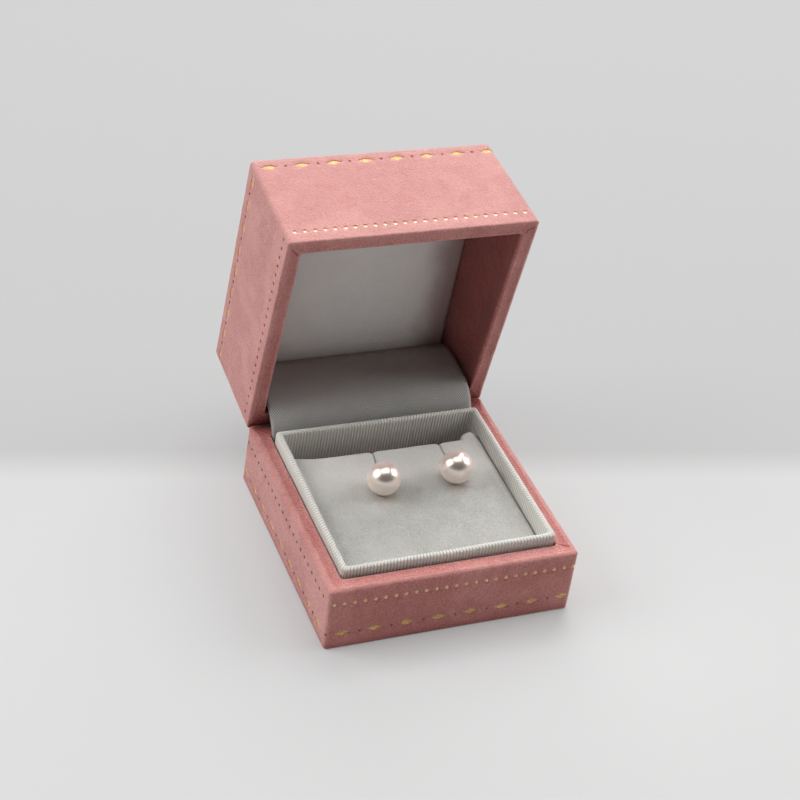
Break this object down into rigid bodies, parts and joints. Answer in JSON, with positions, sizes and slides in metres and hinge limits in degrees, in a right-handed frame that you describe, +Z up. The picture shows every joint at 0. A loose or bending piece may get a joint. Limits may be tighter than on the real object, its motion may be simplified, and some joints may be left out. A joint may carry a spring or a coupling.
{
  "type": "pearl stud earrings in a hinged box",
  "caption": "Small square jewellery box covered in suede, with a hinged lid standing open, and round pearl stud earrings held by their posts in a soft pad.",
  "frame": {"origin": "on the underside of the box's base, below the middle of its top face", "axes": "+Z up, +X across the front to the right, +Y to the back, where the hinge is; the lid stands open as modelled"},
  "size_m": [0.06, 0.0867, 0.0772],
  "materials": {
    "suede": "dusty pink suede-effect covering with a short brushed nap",
    "gold_tooling": "pressed gold foil",
    "ribbed_cloth": "pale warm grey corded ribbon cloth",
    "pad_suede": "pale grey flocked suede cloth over foam",
    "lining_cloth": "grey fine plain weave",
    "twill": "grey diagonal twill",
    "pearl": "white nacre with a rose overtone and a high lustre",
    "post_silver": "polished silver",
    "pin_steel": "bright steel wire"
  },
  "bodies": {
    "base": {"base_shell": "suede", "collar": "ribbed_cloth", "pad": "pad_suede", "pearl_left": "pearl", "pearl_right": "pearl", "post_left": "post_silver", "post_right": "post_silver", "hinge_pin": "pin_steel", "hinge_flap": "twill"},
    "lid": {"lid_shell": "suede", "lid_panel": "lining_cloth"}
  },
  "joints": [
    {"name": "lid_hinge", "type": "hinge", "parent": "base", "child": "lid", "pos_m": [0, 0.0287, 0.0159], "axis": [1, 0, 0], "range_deg": [0, 82], "deforming": ["hinge_flap"]}
  ]
}
